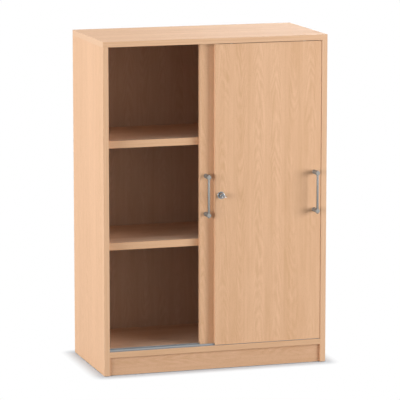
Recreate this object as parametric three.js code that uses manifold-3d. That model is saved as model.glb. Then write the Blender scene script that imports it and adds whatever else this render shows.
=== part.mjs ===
// A sliding door cabinet: a carcass of beech-faced boards on a set-back plinth, two shelves on pins,
// two doors that pass each other on a double aluminium rail, and a push lock with its key.
// Millimetres, +X right, +Y back, +Z up; the origin is the middle of the bottom of its whole box.
import * as THREE from "three";
import { mergeVertices } from "three/addons/utils/BufferGeometryUtils.js";
import Module from "manifold-3d";

const wasm = await Module();
wasm.setup();

// The carcass
const width = 800;
const depth = 400;
const height = 1152;
const board = 19;
const plinthHeight = 65;
const plinthSetback = 8;
const backBoard = 8;
const backInset = 19;
const grooveDepth = 8;
const glideHeight = 2;
const glideMargin = 1;
const glideInset = 40;
const glidePinRadius = 2;
const glidePinLength = 14;
const dowelRadius = 4;
const dowelLength = 35;
const dowelInSide = 12;
const dowelChamfer = 1;
const dowelInset = 70;

// The shelves and their pins
const shelfBoard = 25;
const lowerClear = 346.5;
const shelfPitch = 352;
const shelfSideGap = 0.5;
const shelfBackGap = 1;
const shelfDoorGap = 2;
const pinRadius = 2.5;
const pinShank = 9;
const pinInset = 50;
const pinPitch = 32;
const pinHolesEachWay = 2;
const supportLength = 9;
const supportWidth = 12;
const supportHeight = 8;

// The doors
const doorBoard = 19;
const doorSetback = 2;
const doorGap = 3.5;
const doorSideGap = 0.5;
const doorFloorGap = 2;
const doorHeadGap = 2;
const doorOverlap = 6;
const doorHandleGap = 20;

// The rails and what runs on them
const railPlate = 1.2;
const ribThickness = 2;
const ribHeight = 5;
const railMargin = 6;
const railEndGap = 0.5;
const doorGrooveWidth = 6;
const doorGrooveDepth = 10;
const guideChannel = 8;
const guideDepth = 9;
const guideWall = 1.5;
const guideTipGap = 1.5;
const guideInset = 60;
const guideBodyRadius = 5;
const guideBodyLength = 13;
const guideTongueRadius = 3.2;
const guideChamfer = 0.8;
const stopLength = 12;
const stopWidth = 12;
const stopHeight = 12;
const rollerInset = 60;
const treadRadius = 7.5;
const flangeRadius = 10;
const flangeSlope = 0.6;
const wheelWidth = 6;
const wheelSideGap = 0.5;
const wheelTopGap = 1;
const axleRadius = 1.5;
const axleReach = 2;
const rollerHousingLength = 46;
const rollerHousingWidth = 12;
const rollerHousingRoof = 3;

// The handles
const handleHeight = 610;
const handleInset = 25;
const rearHandleInset = 20;
const handleSpacing = 132;
const handleLength = 150;
const handleStandOff = 36;
const handleBarRadius = 4;
const handleBarChamfer = 0.8;
const postRadius = 7.5;
const postNose = 5;
const postChamfer = 1.5;
const screwRadius = 2;
const screwBite = 9;
const screwHeadRadius = 4;
const screwHeadHeight = 2.4;
const screwSink = 3;

// The lock and its key
const rosetteRadius = 13;
const rosetteHeight = 2;
const rosetteChamfer = 0.8;
const lockTubeRadius = 11;
const lockRearWall = 2;
const cylinderRadius = 9;
const cylinderReach = 20;
const cylinderInDoor = 6;
const cylinderChamfer = 1;
const boltRadius = 3.5;
const boltSideGap = 11;
const boltSetback = 0.5;
const pushTravel = 3.5;
const springWireRadius = 0.5;
const springRadius = 6.4;
const springTurns = 3;
const plugRadius = 5;
const plugLength = 15;
const plugProud = 0.6;
const keyThickness = 2.2;
const bladeWidth = 7.6;
const bladeLength = 12;
const bladeTip = 2;
const bowRadius = 10.5;
const keyReach = 25;
const keyHoleRadius = 3;
const keyHoleShift = 3.5;

// Clearance, overrun of cuts and roundness
const fit = 0.3;
const overrun = 1;
const roundSides = 24;
const smallSides = 12;

// Places worked out from the sizes above; y runs back from the front edges of the carcass
const halfWidth = width / 2;
const inner = halfWidth - board;
const sideMiddle = inner + board / 2;
const topUnder = height - board;
const baseTop = plinthHeight + board;
const backRear = depth - backInset;
const backFront = backRear - backBoard;
const doorWidth = inner + doorOverlap / 2 - doorSideGap;
const doorBottom = baseTop + doorFloorGap;
const doorTop = topUnder - doorHeadGap;
const frontFace = doorSetback;
const rearFace = frontFace + doorBoard + doorGap;
const frontMiddle = frontFace + doorBoard / 2;
const rearMiddle = rearFace + doorBoard / 2;
const frontDoorLeft = inner - doorSideGap - doorWidth;
const rearDoorClosedRight = doorSideGap + doorWidth - inner;
const rearDoorLeft = frontDoorLeft - doorHandleGap - postRadius - rearHandleInset;
const railPlateTop = baseTop + railPlate;
const ribTop = railPlateTop + ribHeight;
const guideTop = topUnder + guideDepth;
const guidePlateUnder = guideTop - guideWall;
const axleHeight = ribTop + fit + treadRadius;
const shelfFront = rearFace + doorBoard + shelfDoorGap;
const shelfRear = backFront - shelfBackGap;
const shelfUndersides = { lower: baseTop + lowerClear, upper: baseTop + lowerClear + shelfPitch };
const pinRows = { front: shelfFront + pinInset, rear: shelfRear - pinInset };
const dowelRows = { front: dowelInset, rear: depth - dowelInset };
const glideRows = { front: glideInset, rear: depth - glideInset };
const dowelHeight = plinthHeight + board / 2;
const lockX = rearDoorClosedRight + boltSideGap + boltRadius;
const lockRear = doorBoard - boltSetback;
const reach = Math.max(cylinderReach + keyReach, handleStandOff + postNose) - doorSetback;
const sideSigns = { left: -1, right: 1 };

const beech = { color: 0xe0b58c, roughness: 0.55, metalness: 0 };
const aluminium = { color: 0x93a0aa, roughness: 0.4, metalness: 1 };
const satinNickel = { color: 0x9c9c9e, roughness: 0.35, metalness: 1 };
const chrome = { color: 0xd0d2d4, roughness: 0.15, metalness: 1 };
const steel = { color: 0xa8a8a6, roughness: 0.4, metalness: 1 };
const whitePlastic = { color: 0xe6e4de, roughness: 0.5, metalness: 0 };
const greyPlastic = { color: 0x6d6f72, roughness: 0.6, metalness: 0 };
const dowelWood = { color: 0xd9bf94, roughness: 0.8, metalness: 0 };

const cabinet = new THREE.Group();
cabinet.position.y = (reach - depth) / 2;

function add(name, geometry, finish, [x, y, z] = [0, 0, 0]) {
  const mesh = new THREE.Mesh(geometry, new THREE.MeshStandardMaterial(finish));
  mesh.name = name;
  mesh.position.set(x, y, z);
  cabinet.add(mesh);
}

// A box between any two opposite corners
function block([xa, ya, za], [xb, yb, zb]) {
  const geometry = new THREE.BoxGeometry(Math.abs(xb - xa), Math.abs(yb - ya), Math.abs(zb - za));
  return geometry.translate((xa + xb) / 2, (ya + yb) / 2, (za + zb) / 2);
}

// A round solid about Y from [radius, y] pairs that begin and end on the axis, or end where they began
function turned(profile, sides = roundSides) {
  return new THREE.LatheGeometry(profile.map(([radius, y]) => new THREE.Vector2(radius, y)), sides);
}

// A rod about Y between any two places on the axis, with its end edges broken by the chamfer
function rod(radius, a, b, sides = roundSides, chamfer = 0) {
  const low = Math.min(a, b);
  const high = Math.max(a, b);
  const rim = radius - chamfer;
  if (chamfer === 0) return turned([[0, low], [radius, low], [radius, high], [0, high]], sides);
  return turned([
    [0, low], [rim, low], [radius, low + chamfer], [radius, high - chamfer], [rim, high], [0, high],
  ], sides);
}

// The same rod laid along X, or stood along Z
const rodX = (...sizes) => rod(...sizes).rotateZ(-Math.PI / 2);
const rodZ = (...sizes) => rod(...sizes).rotateX(Math.PI / 2);

// A straight section from an outline of [y, z] pairs, run along X
function section(outline, xa, xb) {
  const shape = new THREE.Shape(outline.map(([y, z]) => new THREE.Vector2(y, z)));
  const geometry = new THREE.ExtrudeGeometry(shape, { depth: xb - xa, bevelEnabled: false });
  const turn = new THREE.Matrix4().makeBasis(
    new THREE.Vector3(0, 1, 0),
    new THREE.Vector3(0, 0, 1),
    new THREE.Vector3(1, 0, 0),
  );
  return geometry.applyMatrix4(turn).translate(xa, 0, 0);
}

function solidOf(geometry) {
  const bare = geometry.clone();
  bare.deleteAttribute("normal");
  bare.deleteAttribute("uv");
  const merged = mergeVertices(bare);
  const corners = merged.index.array;
  const kept = [];
  for (let i = 0; i < corners.length; i += 3) {
    const [a, b, c] = corners.slice(i, i + 3);
    if (a !== b && b !== c && c !== a) kept.push(a, b, c);
  }
  const vertProperties = new Float32Array(merged.attributes.position.array);
  return new wasm.Manifold(new wasm.Mesh({ numProp: 3, vertProperties, triVerts: new Uint32Array(kept) }));
}

function geometryOf(solid) {
  const { vertProperties, triVerts } = solid.getMesh();
  const geometry = new THREE.BufferGeometry();
  geometry.setAttribute("position", new THREE.BufferAttribute(vertProperties, 3));
  geometry.setIndex(new THREE.BufferAttribute(triVerts, 1));
  geometry.computeVertexNormals();
  return geometry;
}

function cut(body, tools) {
  return geometryOf(tools.reduce((left, tool) => left.subtract(solidOf(tool)), solidOf(body)));
}

function join(first, second) {
  return geometryOf(solidOf(first).add(solidOf(second)));
}

// The side panels: a groove for the back, holes for dowels and glides, and rows of shelf pin holes
function sidePanel(sign) {
  const face = sign * inner;
  const before = face - sign * overrun;
  const middle = sign * sideMiddle;
  const tools = [
    block(
      [before, backFront - fit, baseTop - grooveDepth],
      [face + sign * grooveDepth, backRear + fit, topUnder + overrun],
    ),
  ];
  for (const y of Object.values(dowelRows)) {
    const low = topUnder - dowelLength + dowelInSide - fit;
    tools.push(rodZ(dowelRadius + fit, low, topUnder + overrun, smallSides).translate(middle, y, 0));
    const far = face + sign * (dowelInSide + fit);
    tools.push(rodX(dowelRadius + fit, before, far, smallSides).translate(0, y, dowelHeight));
  }
  for (const y of Object.values(glideRows)) {
    const high = glideHeight + glidePinLength + fit;
    tools.push(rodZ(glidePinRadius + fit, glideHeight - overrun, high, smallSides).translate(middle, y, 0));
  }
  for (const underside of Object.values(shelfUndersides)) {
    for (const y of Object.values(pinRows)) {
      for (let step = -pinHolesEachWay; step <= pinHolesEachWay; step += 1) {
        const far = face + sign * (pinShank + fit);
        const z = underside - supportHeight / 2 + step * pinPitch;
        tools.push(rodX(pinRadius + fit, before, far, smallSides).translate(0, y, z));
      }
    }
  }
  return cut(block([face, 0, glideHeight], [sign * halfWidth, depth, topUnder]), tools);
}

for (const [side, sign] of Object.entries(sideSigns)) {
  add(`side_panel_${side}`, sidePanel(sign), beech);
}

// The top panel lies over the sides, with a groove for the back and a rebate for the upper guide rail
const guideFront = frontMiddle - guideChannel / 2 - guideWall;
const guideRear = rearMiddle + guideChannel / 2 + guideWall;
const topTools = [
  block(
    [-inner - grooveDepth, backFront - fit, topUnder - overrun],
    [inner + grooveDepth, backRear + fit, topUnder + grooveDepth],
  ),
  block([-inner, guideFront - fit, topUnder - overrun], [inner, guideRear + fit, guideTop]),
];
for (const sign of Object.values(sideSigns)) {
  for (const y of Object.values(dowelRows)) {
    const high = topUnder + dowelInSide + fit;
    const hole = rodZ(dowelRadius + fit, topUnder - overrun, high, smallSides);
    topTools.push(hole.translate(sign * sideMiddle, y, 0));
  }
}
add("top_panel", cut(block([-halfWidth, 0, topUnder], [halfWidth, depth, height]), topTools), beech);

// The base panel stands between the sides on the plinth
const baseTools = [
  block(
    [-inner - overrun, backFront - fit, baseTop - grooveDepth],
    [inner + overrun, backRear + fit, baseTop + overrun],
  ),
];
for (const sign of Object.values(sideSigns)) {
  for (const y of Object.values(dowelRows)) {
    const far = sign * (inner - dowelLength + dowelInSide - fit);
    const hole = rodX(dowelRadius + fit, sign * (inner + overrun), far, smallSides);
    baseTools.push(hole.translate(0, y, dowelHeight));
  }
}
add("base_panel", cut(block([-inner, 0, plinthHeight], [inner, depth, baseTop]), baseTools), beech);

add(
  "plinth_board",
  block([-inner, plinthSetback, glideHeight], [inner, plinthSetback + board, plinthHeight]),
  beech,
);

const backReach = grooveDepth - fit;
add(
  "back_panel",
  block([-inner - backReach, backFront, baseTop - backReach], [inner + backReach, backRear, topUnder + backReach]),
  beech,
);

// Glides under the sides, and the dowels that hold the top and the base to them
const glide = [
  [0, 0],
  [board / 2 - glideMargin, 0],
  [board / 2 - glideMargin, glideHeight],
  [glidePinRadius, glideHeight],
  [glidePinRadius, glideHeight + glidePinLength],
  [0, glideHeight + glidePinLength],
];
for (const [side, sign] of Object.entries(sideSigns)) {
  for (const [row, y] of Object.entries(glideRows)) {
    add(`glide_${side}_${row}`, turned(glide).rotateX(Math.PI / 2), whitePlastic, [sign * sideMiddle, y, 0]);
  }
  for (const [row, y] of Object.entries(dowelRows)) {
    const inBoard = dowelLength - dowelInSide;
    const upright = rodZ(dowelRadius, -inBoard, dowelInSide, smallSides, dowelChamfer);
    add(`dowel_top_${side}_${row}`, upright, dowelWood, [sign * sideMiddle, y, topUnder]);
    const level = rodX(dowelRadius, -sign * inBoard, sign * dowelInSide, smallSides, dowelChamfer);
    add(`dowel_base_${side}_${row}`, level, dowelWood, [sign * inner, y, dowelHeight]);
  }
}

// The shelves and the pins that carry them
for (const [level, underside] of Object.entries(shelfUndersides)) {
  const half = inner - shelfSideGap;
  const shelf = block([-half, shelfFront, underside], [half, shelfRear, underside + shelfBoard]);
  add(`shelf_${level}`, shelf, beech);
  for (const [side, sign] of Object.entries(sideSigns)) {
    const support = block(
      [0, -supportWidth / 2, -supportHeight / 2],
      [-sign * supportLength, supportWidth / 2, supportHeight / 2],
    );
    const shank = rodX(pinRadius, -sign * overrun, sign * pinShank, smallSides);
    for (const [row, y] of Object.entries(pinRows)) {
      const place = [sign * inner, y, underside - supportHeight / 2];
      add(`shelf_pin_${level}_${side}_${row}`, join(support, shank), steel, place);
    }
  }
}

// The lower rail has one rib under the middle of each door
const railEnd = inner - railEndGap;
const railFront = frontMiddle - railMargin;
const railRear = rearMiddle + railMargin;
const rib = (y) => [
  [y + ribThickness / 2, railPlateTop],
  [y + ribThickness / 2, ribTop],
  [y - ribThickness / 2, ribTop],
  [y - ribThickness / 2, railPlateTop],
];
const railOutline = [
  [railFront, baseTop],
  [railRear, baseTop],
  [railRear, railPlateTop],
  ...rib(rearMiddle),
  ...rib(frontMiddle),
  [railFront, railPlateTop],
];
add("lower_rail", section(railOutline, -railEnd, railEnd), aluminium);

// The upper guide rail is a plate with a downward channel over the middle of each door
const channel = (y) => [
  [y - guideChannel / 2 - guideWall, topUnder],
  [y - guideChannel / 2, topUnder],
  [y - guideChannel / 2, guidePlateUnder],
  [y + guideChannel / 2, guidePlateUnder],
  [y + guideChannel / 2, topUnder],
  [y + guideChannel / 2 + guideWall, topUnder],
];
const guideOutline = [
  ...channel(frontMiddle),
  [frontMiddle + guideChannel / 2 + guideWall, guidePlateUnder],
  [rearMiddle - guideChannel / 2 - guideWall, guidePlateUnder],
  ...channel(rearMiddle),
  [guideRear, guideTop],
  [guideFront, guideTop],
];
add("upper_guide_rail", section(guideOutline, -railEnd, railEnd), greyPlastic);

// The stop sits over the rear rib, where the rear door ends when it is open
const stopLeft = rearDoorLeft + doorWidth + fit;
const stopRight = stopLeft + stopLength;
const stopBlock = block(
  [stopLeft, rearMiddle - stopWidth / 2, railPlateTop],
  [stopRight, rearMiddle + stopWidth / 2, railPlateTop + stopHeight],
);
const stopSlot = block(
  [stopLeft - overrun, rearMiddle - ribThickness / 2 - fit, railPlateTop - overrun],
  [stopRight + overrun, rearMiddle + ribThickness / 2 + fit, ribTop + fit],
);
add("rail_stop", cut(stopBlock, [stopSlot]), greyPlastic);

// A roller housing fills its mortise in the door's lower edge; the wheel straddles the rib
const housingTop = axleHeight + flangeRadius + wheelTopGap + rollerHousingRoof;

function rollerHousing(x, y) {
  const halfLength = rollerHousingLength / 2;
  const halfHousing = rollerHousingWidth / 2;
  const wellReach = flangeRadius + wheelTopGap;
  const halfWell = wheelWidth / 2 + wheelSideGap;
  const below = doorBottom - overrun;
  const bore = rod(axleRadius + fit, -halfHousing - overrun, halfHousing + overrun, smallSides);
  return cut(
    block([x - halfLength, y - halfHousing, doorBottom], [x + halfLength, y + halfHousing, housingTop]),
    [
      block(
        [x - halfLength - overrun, y - doorGrooveWidth / 2, below],
        [x + halfLength + overrun, y + doorGrooveWidth / 2, doorBottom + doorGrooveDepth],
      ),
      block([x - wellReach, y - halfWell, below], [x + wellReach, y + halfWell, axleHeight + wellReach]),
      bore.translate(x, y, axleHeight),
    ],
  );
}

const treadHalf = ribThickness / 2 + fit;
const wheel = [
  [0, -wheelWidth / 2 - axleReach],
  [axleRadius, -wheelWidth / 2 - axleReach],
  [axleRadius, -wheelWidth / 2],
  [flangeRadius, -wheelWidth / 2],
  [flangeRadius, -treadHalf - flangeSlope],
  [treadRadius, -treadHalf],
  [treadRadius, treadHalf],
  [flangeRadius, treadHalf + flangeSlope],
  [flangeRadius, wheelWidth / 2],
  [axleRadius, wheelWidth / 2],
  [axleRadius, wheelWidth / 2 + axleReach],
  [0, wheelWidth / 2 + axleReach],
];

const tongueLength = guidePlateUnder - guideTipGap - doorTop;
const guide = [
  [0, -guideBodyLength],
  [guideBodyRadius, -guideBodyLength],
  [guideBodyRadius, 0],
  [guideTongueRadius, 0],
  [guideTongueRadius, tongueLength - guideChamfer],
  [guideTongueRadius - guideChamfer, tongueLength],
  [0, tongueLength],
];

// A handle post reaches from the door's face past the bar, which passes through it
const postLength = handleStandOff + postNose;
const post = cut(
  turned([
    [0, -postLength],
    [postRadius - postChamfer, -postLength],
    [postRadius, postChamfer - postLength],
    [postRadius, 0],
    [0, 0],
  ]),
  [
    rodZ(handleBarRadius + fit, -postRadius - overrun, postRadius + overrun).translate(0, -handleStandOff, 0),
    rod(screwRadius + fit, -screwBite - fit, overrun, smallSides),
  ],
);
const screwSeat = doorBoard - screwSink;
const screw = [
  [0, -screwSeat - screwBite],
  [screwRadius, -screwSeat - screwBite],
  [screwRadius, 0],
  [screwHeadRadius, 0],
  [screwHeadRadius, screwHeadHeight],
  [0, screwHeadHeight],
];

// One door with its rollers, guides and handle; left and right are the places of its edges
function door(name, left, face, handleX, bores) {
  const right = left + doorWidth;
  const middle = face + doorBoard / 2;
  const back = face + doorBoard;
  const rollers = { left: left + rollerInset, right: right - rollerInset };
  const guides = { left: left + guideInset, right: right - guideInset };
  const posts = { upper: handleHeight + handleSpacing / 2, lower: handleHeight - handleSpacing / 2 };
  const tools = [
    block(
      [left - overrun, middle - doorGrooveWidth / 2, doorBottom - overrun],
      [right + overrun, middle + doorGrooveWidth / 2, doorBottom + doorGrooveDepth],
    ),
    ...bores,
  ];
  for (const x of Object.values(rollers)) {
    const halfLength = rollerHousingLength / 2 + fit;
    const halfHousing = rollerHousingWidth / 2 + fit;
    tools.push(block(
      [x - halfLength, middle - halfHousing, doorBottom - overrun],
      [x + halfLength, middle + halfHousing, housingTop + fit],
    ));
  }
  for (const x of Object.values(guides)) {
    const low = doorTop - guideBodyLength - fit;
    tools.push(rodZ(guideBodyRadius + fit, low, doorTop + overrun).translate(x, middle, 0));
  }
  for (const z of Object.values(posts)) {
    const shank = rod(screwRadius + fit, face - overrun, back + overrun, smallSides);
    const head = rod(screwHeadRadius + fit, face + screwSeat, back + overrun, smallSides);
    tools.push(shank.translate(handleX, 0, z), head.translate(handleX, 0, z));
  }
  add(`${name}_panel`, cut(block([left, face, doorBottom], [right, back, doorTop]), tools), beech);

  for (const [end, x] of Object.entries(rollers)) {
    add(`${name}_roller_housing_${end}`, rollerHousing(x, middle), whitePlastic);
    add(`${name}_roller_${end}`, turned(wheel), greyPlastic, [x, middle, axleHeight]);
  }
  for (const [end, x] of Object.entries(guides)) {
    add(`${name}_top_guide_${end}`, turned(guide).rotateX(Math.PI / 2), whitePlastic, [x, middle, doorTop]);
  }
  const bar = rodZ(handleBarRadius, -handleLength / 2, handleLength / 2, roundSides, handleBarChamfer);
  add(`${name}_handle_bar`, bar, satinNickel, [handleX, face - handleStandOff, handleHeight]);
  for (const [end, z] of Object.entries(posts)) {
    add(`${name}_handle_post_${end}`, post.clone(), satinNickel, [handleX, face, z]);
    add(`${name}_handle_screw_${end}`, turned(screw, smallSides), steel, [handleX, face + screwSeat, z]);
  }
}

const lockBore = rod(lockTubeRadius + fit, frontFace - overrun, frontFace + doorBoard + overrun);
door("rear_door", rearDoorLeft, rearFace, rearDoorLeft + rearHandleInset, []);
door("front_door", frontDoorLeft, frontFace, frontDoorLeft + doorWidth - handleInset, [
  lockBore.translate(lockX, 0, handleHeight),
]);

// The lock: a flanged tube in the front door, and a cylinder with a bolt behind it that is pushed in.
// The bolt passes beside the rear door's edge when both doors are closed.
const lockPlace = [lockX, frontFace, handleHeight];
const bore = cylinderRadius + fit;
const lockShoulder = lockRear - lockRearWall;
const lockTube = [
  [bore, -rosetteHeight],
  [rosetteRadius - rosetteChamfer, -rosetteHeight],
  [rosetteRadius, rosetteChamfer - rosetteHeight],
  [rosetteRadius, 0],
  [lockTubeRadius, 0],
  [lockTubeRadius, lockRear],
  [boltRadius + fit, lockRear],
  [boltRadius + fit, lockShoulder],
  [bore, lockShoulder],
  [bore, -rosetteHeight],
];
add("lock_housing", turned(lockTube), chrome, lockPlace);

const cylinder = cut(
  turned([
    [0, -cylinderReach],
    [cylinderRadius - cylinderChamfer, -cylinderReach],
    [cylinderRadius, cylinderChamfer - cylinderReach],
    [cylinderRadius, cylinderInDoor],
    [boltRadius, cylinderInDoor],
    [boltRadius, lockRear],
    [0, lockRear],
  ]),
  [rod(plugRadius + fit, -cylinderReach - overrun, plugLength + fit - cylinderReach)],
);
add("lock_cylinder", cylinder, chrome, lockPlace);

// The spring pushes the cylinder out; it is drawn at its length when the cylinder is pushed in
class Coil extends THREE.Curve {
  constructor(radius, from, to, turns) {
    super();
    Object.assign(this, { radius, from, to, turns });
  }

  getPoint(share, target = new THREE.Vector3()) {
    const angle = share * this.turns * 2 * Math.PI;
    const y = this.from + (this.to - this.from) * share;
    return target.set(this.radius * Math.cos(angle), y, this.radius * Math.sin(angle));
  }
}
const springFrom = cylinderInDoor + pushTravel + fit + springWireRadius;
const springTo = lockShoulder - fit - springWireRadius;
const wireShape = new THREE.Shape().absarc(0, 0, springWireRadius, 0, 2 * Math.PI, false);
const spring = new THREE.ExtrudeGeometry(wireShape, {
  steps: springTurns * smallSides,
  curveSegments: 3,
  extrudePath: new Coil(springRadius, springFrom, springTo, springTurns),
});
add("lock_spring", spring, steel, lockPlace);

// The plug holds the key's blade in a slot and turns with it
const slot = block(
  [-bladeWidth / 2 - fit, -cylinderReach - plugProud - overrun, -keyThickness / 2 - fit],
  [bladeWidth / 2 + fit, bladeLength + fit - cylinderReach, keyThickness / 2 + fit],
);
const plug = rod(plugRadius, -cylinderReach - plugProud, plugLength - cylinderReach);
add("lock_plug", cut(plug, [slot]), chrome, lockPlace);

const bowY = bowRadius - cylinderReach - keyReach;
const tipY = bladeLength - cylinderReach;
const halfBlade = bladeWidth / 2;
const neckAngle = Math.asin(halfBlade / bowRadius);
const keyShape = new THREE.Shape();
keyShape.moveTo(bladeTip - halfBlade, tipY);
keyShape.lineTo(-halfBlade, tipY - bladeTip);
keyShape.lineTo(-halfBlade, bowY + bowRadius * Math.cos(neckAngle));
keyShape.absarc(0, bowY, bowRadius, Math.PI / 2 + neckAngle, 2.5 * Math.PI - neckAngle, false);
keyShape.lineTo(halfBlade, tipY - bladeTip);
keyShape.lineTo(halfBlade - bladeTip, tipY);
keyShape.closePath();
keyShape.holes.push(new THREE.Path().absarc(0, bowY - keyHoleShift, keyHoleRadius, 0, 2 * Math.PI, true));
const key = new THREE.ExtrudeGeometry(keyShape, {
  depth: keyThickness,
  bevelEnabled: false,
  curveSegments: smallSides,
});
add("key", key.translate(0, 0, -keyThickness / 2), chrome, lockPlace);

export default cabinet;
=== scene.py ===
"""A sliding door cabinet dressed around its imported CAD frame: metres, +X right, +Y back, +Z up."""
import math

import bmesh
import bpy
from mathutils import Matrix, Vector


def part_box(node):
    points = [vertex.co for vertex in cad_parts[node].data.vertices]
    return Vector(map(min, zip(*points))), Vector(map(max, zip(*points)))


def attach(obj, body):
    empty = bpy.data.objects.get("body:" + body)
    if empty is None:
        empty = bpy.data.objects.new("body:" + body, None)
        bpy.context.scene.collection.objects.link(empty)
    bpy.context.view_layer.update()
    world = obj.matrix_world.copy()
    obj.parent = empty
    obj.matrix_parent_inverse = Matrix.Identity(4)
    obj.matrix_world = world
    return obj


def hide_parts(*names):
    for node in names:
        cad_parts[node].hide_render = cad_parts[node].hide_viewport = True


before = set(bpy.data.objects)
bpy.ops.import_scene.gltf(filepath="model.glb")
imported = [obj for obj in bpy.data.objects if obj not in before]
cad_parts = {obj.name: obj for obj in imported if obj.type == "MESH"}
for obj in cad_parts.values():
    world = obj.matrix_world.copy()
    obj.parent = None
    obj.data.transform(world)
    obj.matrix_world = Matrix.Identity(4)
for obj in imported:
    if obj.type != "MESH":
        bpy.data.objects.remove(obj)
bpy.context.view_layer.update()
scene = bpy.context.scene
scene.view_settings.view_transform = "Standard"
MM = 0.001


# The camera stands far back on the left, a little above the cabinet, with a long lens,
# so that the cabinet's uprights and shelves stay nearly parallel.
CAMERA_PLACE = (-2.9038, -9.3901, 2.2327)
CAMERA_TILT = 9.626
CAMERA_TURN = 17.164
CAMERA_LENS = 257.25
CAMERA_SENSOR = 36

lens = bpy.data.cameras.new("camera")
lens.sensor_fit = "HORIZONTAL"
lens.sensor_width = CAMERA_SENSOR
lens.lens = CAMERA_LENS
camera = bpy.data.objects.new("camera", lens)
camera.location = CAMERA_PLACE
camera.rotation_euler = (math.radians(90 - CAMERA_TILT), 0, math.radians(-CAMERA_TURN))
scene.collection.objects.link(camera)
scene.camera = camera


# The studio: a white floor that keeps the contact shadow round the cabinet's foot and fades into
# a white surround, a broad lamp on each side in front, one above, and two behind.
FLOOR_REACH = 30
FOOT_CENTRE = (0, 0.0215, 0)
FOOT_HALF = (0.4, 0.2, 0)
FLOOR_FADE = 0.055
FLOOR_COLOUR = "#CDD4DC"
FLOOR_LIFT = 0.12
FLOOR_BOUNCE = "#727272"
WHITE = "#FFFFFF"
SURROUND = 0.21
LAMP_SIZE = 3.0
# Each lamp's place, aim, power in watts, and its share in the highlights
LAMPS = {
    "lamp_left": ((-4.2, -1.9, 0.95), (0, -0.18, 0.6), 151, 0.8),
    "lamp_right": ((3.65, -2.93, 0.95), (0, -0.18, 0.6), 191, 0.8),
    "lamp_above": ((0, 0.1, 4.6), (0, 0.05, 1.0), 76, 0.3),
    "lamp_left_rear": ((-4.0, 2.2, 1.0), (0, 0.1, 0.6), 66, 0.0),
    "lamp_right_rear": ((2.4, 4.1, 0.7), (0, 0.2, 0.6), 110, 0.0),
}


def linear(colour):
    """An sRGB hex colour as linear red, green, blue and 1."""
    parts = [int(colour[i : i + 2], 16) / 255 for i in (1, 3, 5)]
    return (*[p / 12.92 if p <= 0.04045 else ((p + 0.055) / 1.055) ** 2.4 for p in parts], 1)


def add(tree, kind, links=(), **settings):
    """One node with its settings; links gives each input a socket to read or a value."""
    made = tree.nodes.new(kind)
    for name, value in settings.items():
        setattr(made, name, value)
    for name, value in dict(links).items():
        if isinstance(value, bpy.types.NodeSocket):
            tree.links.new(value, made.inputs[name])
        else:
            made.inputs[name].default_value = value
    return made


def new_finish(name):
    """An empty material, its tree, and the coordinates of the piece that wears it."""
    material = bpy.data.materials.new(name)
    material.use_nodes = True
    material.node_tree.nodes.clear()
    place = add(material.node_tree, "ShaderNodeTexCoord")
    return material, material.node_tree, place.outputs["Object"]


def made(name, bm, *finishes):
    """The object for a finished bmesh, with its place in its mesh."""
    mesh = bpy.data.meshes.new(name)
    bm.to_mesh(mesh)
    bm.free()
    for finish in finishes:
        mesh.materials.append(finish)
    piece = bpy.data.objects.new(name, mesh)
    scene.collection.objects.link(piece)
    return piece


def white_to_the_eye(tree, seen, lit):
    """The shader seen for the eye, metal and glass, and the shader lit for all other light."""
    ray = add(tree, "ShaderNodeLightPath")
    mirrored = add(
        tree,
        "ShaderNodeMath",
        {0: ray.outputs["Is Glossy Ray"], 1: ray.outputs["Is Transmission Ray"]},
        operation="MAXIMUM",
    )
    shown = add(
        tree,
        "ShaderNodeMath",
        {0: ray.outputs["Is Camera Ray"], 1: mirrored.outputs[0]},
        operation="MAXIMUM",
    )
    either = add(
        tree, "ShaderNodeMixShader", {0: shown.outputs[0], 1: lit.outputs[0], 2: seen.outputs[0]}
    )
    return either.outputs[0]


# White paper floor: seen white by the eye and by metal, grey to the light that bounces off it.
# The shade on it fades out with the distance from the cabinet's foot.
floor_paper, tree, place = new_finish("white_paper_floor")
outside = place
for operation, operand in (
    ("SUBTRACT", FOOT_CENTRE),
    ("ABSOLUTE", (0, 0, 0)),
    ("SUBTRACT", FOOT_HALF),
    ("MAXIMUM", (0, 0, 0)),
):
    moved = add(tree, "ShaderNodeVectorMath", {0: outside, 1: operand}, operation=operation)
    outside = moved.outputs[0]
reach = add(tree, "ShaderNodeVectorMath", {0: outside}, operation="LENGTH")
away = add(
    tree,
    "ShaderNodeMapRange",
    {"Value": reach.outputs["Value"], "From Max": FLOOR_FADE},
    interpolation_type="SMOOTHSTEP",
)
paper = add(tree, "ShaderNodeBsdfDiffuse", {"Color": linear(FLOOR_COLOUR)})
lift = add(tree, "ShaderNodeEmission", {"Color": linear(WHITE), "Strength": FLOOR_LIFT})
near = add(tree, "ShaderNodeAddShader", {0: paper.outputs[0], 1: lift.outputs[0]})
far = add(tree, "ShaderNodeEmission", {"Color": linear(WHITE), "Strength": 1.0})
seen = add(tree, "ShaderNodeMixShader", {0: away.outputs[0], 1: near.outputs[0], 2: far.outputs[0]})
bounce = add(tree, "ShaderNodeBsdfDiffuse", {"Color": linear(FLOOR_BOUNCE)})
add(tree, "ShaderNodeOutputMaterial", {"Surface": white_to_the_eye(tree, seen, bounce)})

bm = bmesh.new()
bmesh.ops.create_circle(bm, cap_ends=True, radius=FLOOR_REACH, segments=64)
floor = made("floor", bm, floor_paper)

world = bpy.data.worlds.new("surround")
scene.world = world
world.use_nodes = True
tree = world.node_tree
tree.nodes.clear()
ambient = add(tree, "ShaderNodeBackground", {"Color": linear(WHITE), "Strength": SURROUND})
white = add(tree, "ShaderNodeBackground", {"Color": linear(WHITE), "Strength": 1.0})
add(tree, "ShaderNodeOutputWorld", {"Surface": white_to_the_eye(tree, white, ambient)})

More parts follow.
